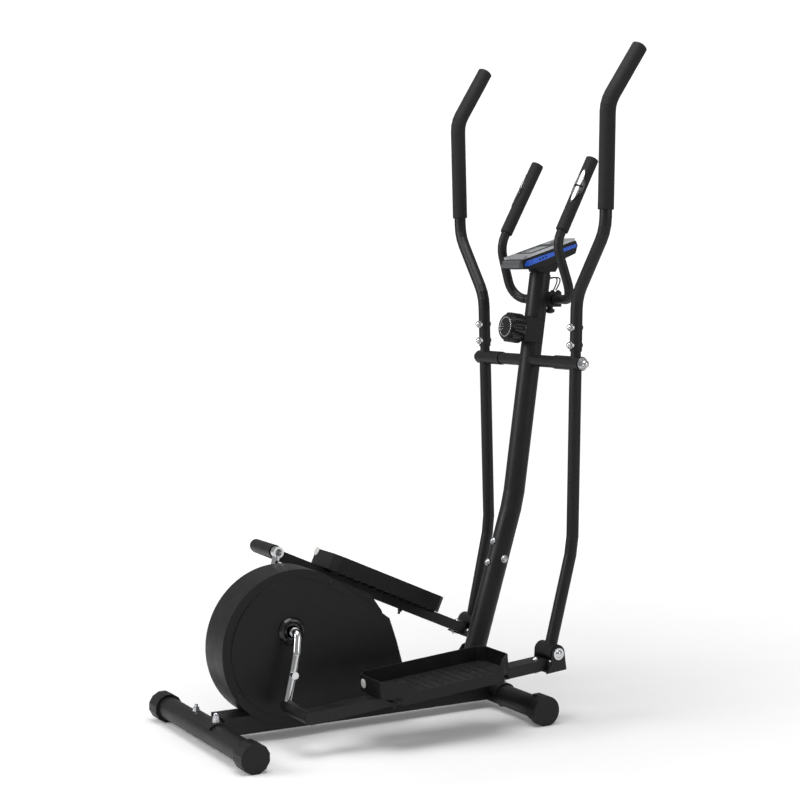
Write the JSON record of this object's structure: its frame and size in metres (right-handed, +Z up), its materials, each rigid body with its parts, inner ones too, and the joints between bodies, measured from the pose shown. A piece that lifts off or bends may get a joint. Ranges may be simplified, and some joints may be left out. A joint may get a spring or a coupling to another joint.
{
  "type": "elliptical trainer",
  "caption": "Upright elliptical trainer: belt drive in a round housing, crank, swing handles with foot trays, mast with console and fixed handlebar.",
  "frame": {"origin": "middle of the bounding box, on the floor", "axes": "+X the way the user faces, +Y to the user's left, +Z up"},
  "size_m": [0.9722, 0.6222, 1.5247],
  "materials": {
    "frame_black": "satin",
    "black_plastic": "fine texture",
    "tray_plastic": "fine texture",
    "gloss_black": "gloss",
    "bright_chrome": "polished",
    "zinc_steel": "zinc plated",
    "black_screws": "satin",
    "inner_steel": "satin",
    "cast_wheel": "machined",
    "belt_rubber": "matt",
    "grip_foam": "matt foam",
    "bush_plastic": "plain",
    "silver_plastic": "satin silver",
    "blue_plastic": "gloss",
    "grey_plastic": "satin",
    "display_window": "clear",
    "lead_cover": "matt"
  },
  "bodies": {
    "frame": {"base_rail": "frame_black", "mast_stub": "frame_black", "rear_stabiliser": "frame_black", "front_stabiliser": "frame_black", "front_caps": "black_plastic", "stabiliser_bolts": "zinc_steel", "stabiliser_nuts": "zinc_steel", "upper_mast": "frame_black", "mast_bolts": "zinc_steel", "pivot_nuts": "bright_chrome", "tension_collar": "black_plastic", "drive_frame": "inner_steel", "crank_bearings": "zinc_steel", "drive_belt": "belt_rubber", "flywheel_axle": "zinc_steel", "housing_right": "black_plastic", "housing_left": "black_plastic", "housing_screws": "black_screws", "hub_covers": "gloss_black", "console_neck": "black_plastic", "console_body": "black_plastic", "console_fascia": "silver_plastic", "console_lens": "display_window", "console_trims": "blue_plastic", "console_heel": "grey_plastic", "fixed_handlebar": "frame_black", "handlebar_clamp": "black_plastic", "clamp_screws": "black_screws", "fixed_grips": "grip_foam", "pulse_bezels": "gloss_black", "pulse_plates": "bright_chrome", "sensor_leads": "lead_cover"},
    "leveller_right": {"leveller_right": "black_plastic"},
    "leveller_left": {"leveller_left": "black_plastic"},
    "crank": {"crank": "bright_chrome", "drive_pulley": "black_plastic"},
    "flywheel": {"flywheel": "cast_wheel"},
    "magnets": {"magnet_bracket": "inner_steel"},
    "tension_knob": {"tension_knob": "gloss_black"},
    "mode_button": {"mode_button": "grey_plastic"},
    "swing_right": {"swing_arm_right": "frame_black", "swing_bushes_right": "bush_plastic", "upper_handle_right": "frame_black", "handle_foam_right": "grip_foam", "handle_plug_right": "black_plastic", "handle_bolts_right": "bright_chrome"},
    "swing_left": {"swing_arm_left": "frame_black", "swing_bushes_left": "bush_plastic", "upper_handle_left": "frame_black", "handle_foam_left": "grip_foam", "handle_plug_left": "black_plastic", "handle_bolts_left": "bright_chrome"},
    "pedal_right": {"pedal_arm_right": "frame_black", "pedal_tray_right": "tray_plastic", "pedal_pins_right": "bright_chrome", "pedal_bolts_right": "black_screws"},
    "pedal_left": {"pedal_arm_left": "frame_black", "pedal_tray_left": "tray_plastic", "pedal_pins_left": "bright_chrome", "pedal_bolts_left": "black_screws"}
  },
  "joints": [
    {"name": "crank_spin", "type": "hinge", "parent": "frame", "child": "crank", "pos_m": [-0.27135, 0, 0.237], "axis": [0, 1, 0], "continuous": true},
    {"name": "flywheel_spin", "type": "hinge", "parent": "frame", "child": "flywheel", "pos_m": [-0.11635, 0, 0.15], "axis": [0, 1, 0], "continuous": true},
    {"name": "swing_right_arm", "type": "hinge", "parent": "frame", "child": "swing_right", "pos_m": [0.37565, 0, 0.809], "axis": [0, 1, 0], "range_deg": [-13, 10.5]},
    {"name": "swing_left_arm", "type": "hinge", "parent": "frame", "child": "swing_left", "pos_m": [0.37565, 0, 0.809], "axis": [0, 1, 0], "range_deg": [-14, 13]},
    {"name": "pedal_right_pivot", "type": "hinge", "parent": "swing_right", "child": "pedal_right", "pos_m": [0.30899, 0, 0.15733], "axis": [0, 1, 0], "range_deg": [-12, 14]},
    {"name": "pedal_left_pivot", "type": "hinge", "parent": "swing_left", "child": "pedal_left", "pos_m": [0.33717, 0, 0.15506], "axis": [0, 1, 0], "range_deg": [-14, 12]},
    {"name": "tension_knob_turn", "type": "hinge", "parent": "frame", "child": "tension_knob", "pos_m": [0.34688, 0, 0.88383], "axis": [-0.9905, 0, 0.1374], "range_deg": [0, 300]},
    {"name": "magnet_tilt", "type": "hinge", "parent": "frame", "child": "magnets", "pos_m": [-0.03435, 0, 0.092], "axis": [0, 1, 0], "range_deg": [0, 5]},
    {"name": "leveller_right_turn", "type": "hinge", "parent": "frame", "child": "leveller_right", "pos_m": [-0.45235, -0.2545, 0.033], "axis": [0, 1, 0], "range_deg": [-180, 180]},
    {"name": "leveller_left_turn", "type": "hinge", "parent": "frame", "child": "leveller_left", "pos_m": [-0.45235, 0.2545, 0.033], "axis": [0, 1, 0], "range_deg": [-180, 180]},
    {"name": "mode_button_press", "type": "slide", "parent": "frame", "child": "mode_button", "axis": [0.3005, 0, -0.9538], "range_m": [0, 0.0015], "stiffness_N_per_m": 300, "springref_m": -0.001}
  ],
  "couplings": [
    {"joint": "flywheel_spin", "follows": "crank_spin", "ratio": 5.4546},
    {"joint": "swing_left_arm", "follows": "swing_right_arm", "ratio": -1},
    {"joint": "pedal_right_pivot", "follows": "swing_right_arm", "ratio": -1},
    {"joint": "pedal_left_pivot", "follows": "swing_right_arm", "ratio": 1},
    {"joint": "magnet_tilt", "follows": "tension_knob_turn", "ratio": 0.016667}
  ]
}
